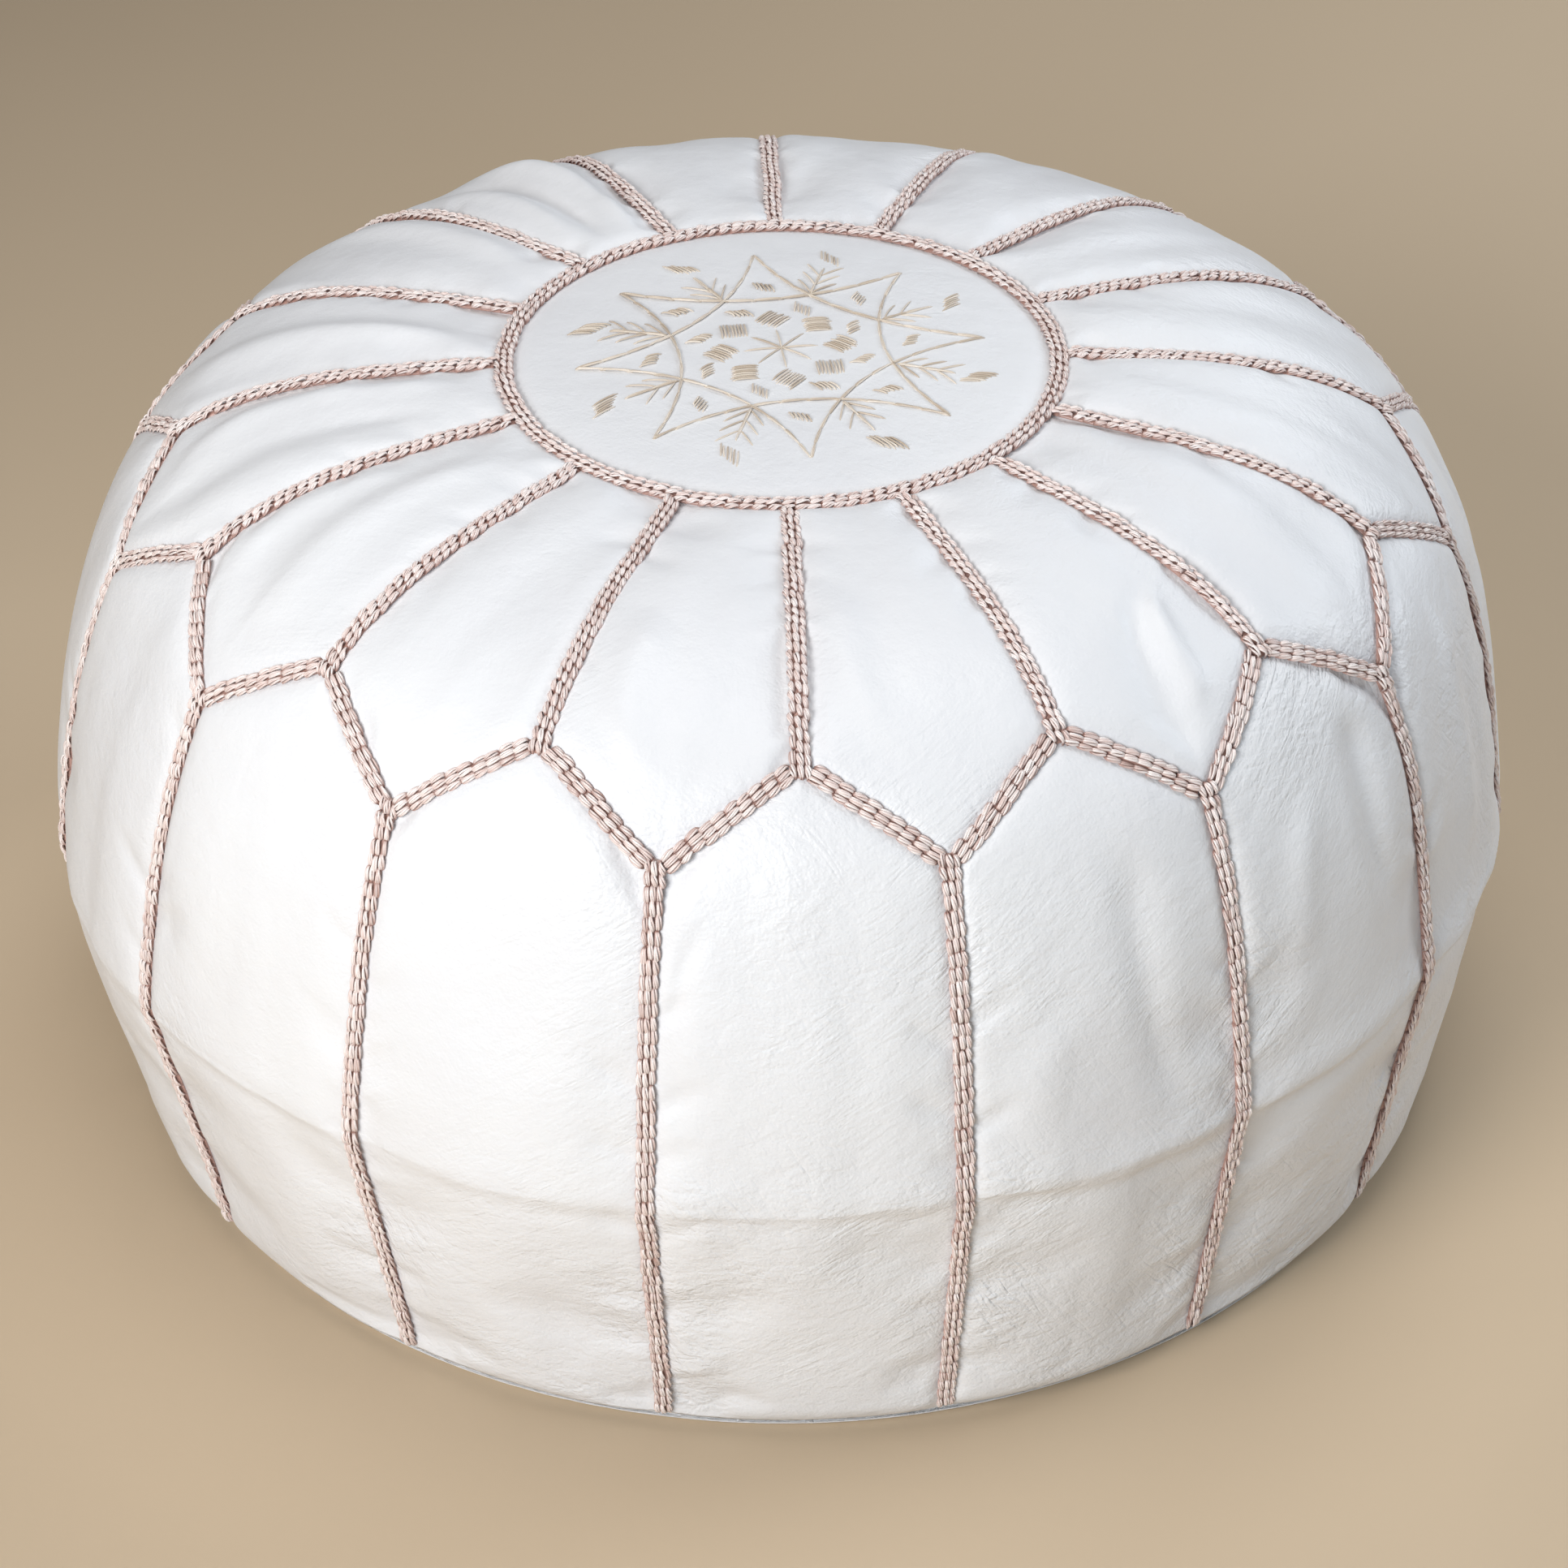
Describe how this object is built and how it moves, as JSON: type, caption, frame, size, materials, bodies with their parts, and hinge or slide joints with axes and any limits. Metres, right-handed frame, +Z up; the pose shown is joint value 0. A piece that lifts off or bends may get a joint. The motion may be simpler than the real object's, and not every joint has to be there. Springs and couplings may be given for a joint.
{
  "type": "moroccan leather pouf",
  "caption": "Round stuffed white leather pouf with a star-embroidered top, radial and zigzag silk braid seams, a flat base with a welt, and a base zipper.",
  "frame": {"origin": "centre of the base, on the surface the pouf rests on", "axes": "+Z up through the centre of the medallion; -Y is the front, along one of the radial seams; the base zipper runs along X"},
  "size_m": [0.56, 0.56, 0.3007],
  "materials": {
    "white_leather": "satin",
    "pink_silk": "satin",
    "gold_thread": "satin",
    "sewing_thread": "matte",
    "zipper_tape": "matte",
    "zipper_coil": "satin",
    "nickel": "satin",
    "cotton": "matte",
    "fibre_fill": "matte"
  },
  "bodies": {
    "pouf": {"petal_01": "white_leather", "petal_02": "white_leather", "petal_03": "white_leather", "petal_04": "white_leather", "petal_05": "white_leather", "petal_06": "white_leather", "petal_07": "white_leather", "petal_08": "white_leather", "petal_09": "white_leather", "petal_10": "white_leather", "petal_11": "white_leather", "petal_12": "white_leather", "petal_13": "white_leather", "petal_14": "white_leather", "petal_15": "white_leather", "petal_16": "white_leather", "side_panel_01": "white_leather", "side_panel_02": "white_leather", "side_panel_03": "white_leather", "side_panel_04": "white_leather", "side_panel_05": "white_leather", "side_panel_06": "white_leather", "side_panel_07": "white_leather", "side_panel_08": "white_leather", "side_panel_09": "white_leather", "side_panel_10": "white_leather", "side_panel_11": "white_leather", "side_panel_12": "white_leather", "side_panel_13": "white_leather", "side_panel_14": "white_leather", "side_panel_15": "white_leather", "side_panel_16": "white_leather", "medallion": "white_leather", "base_front": "white_leather", "base_back": "white_leather", "base_welt": "white_leather", "medallion_embroidery": "gold_thread", "ring_braid": "pink_silk", "radial_braids": "pink_silk", "zigzag_braids": "pink_silk", "side_braids": "pink_silk", "peak_knots": "pink_silk", "valley_knots": "pink_silk", "base_stitching": "sewing_thread", "zipper_stitching": "sewing_thread", "zipper_tape_front": "zipper_tape", "zipper_tape_back": "zipper_tape", "zipper_coil_front": "zipper_coil", "zipper_coil_back": "zipper_coil", "zipper_stops": "nickel", "cotton_bag": "cotton", "stuffing": "fibre_fill"},
    "slider": {"zipper_slider": "nickel"},
    "pull": {"zipper_pull": "nickel"}
  },
  "joints": [
    {"name": "slider_travel", "type": "slide", "parent": "pouf", "child": "slider", "axis": [-1, 0, 0], "range_m": [0, 0.3]},
    {"name": "pull_swing", "type": "hinge", "parent": "slider", "child": "pull", "pos_m": [0.147, 0, 0.0033], "axis": [0, -1, 0], "range_deg": [0, 170]}
  ]
}
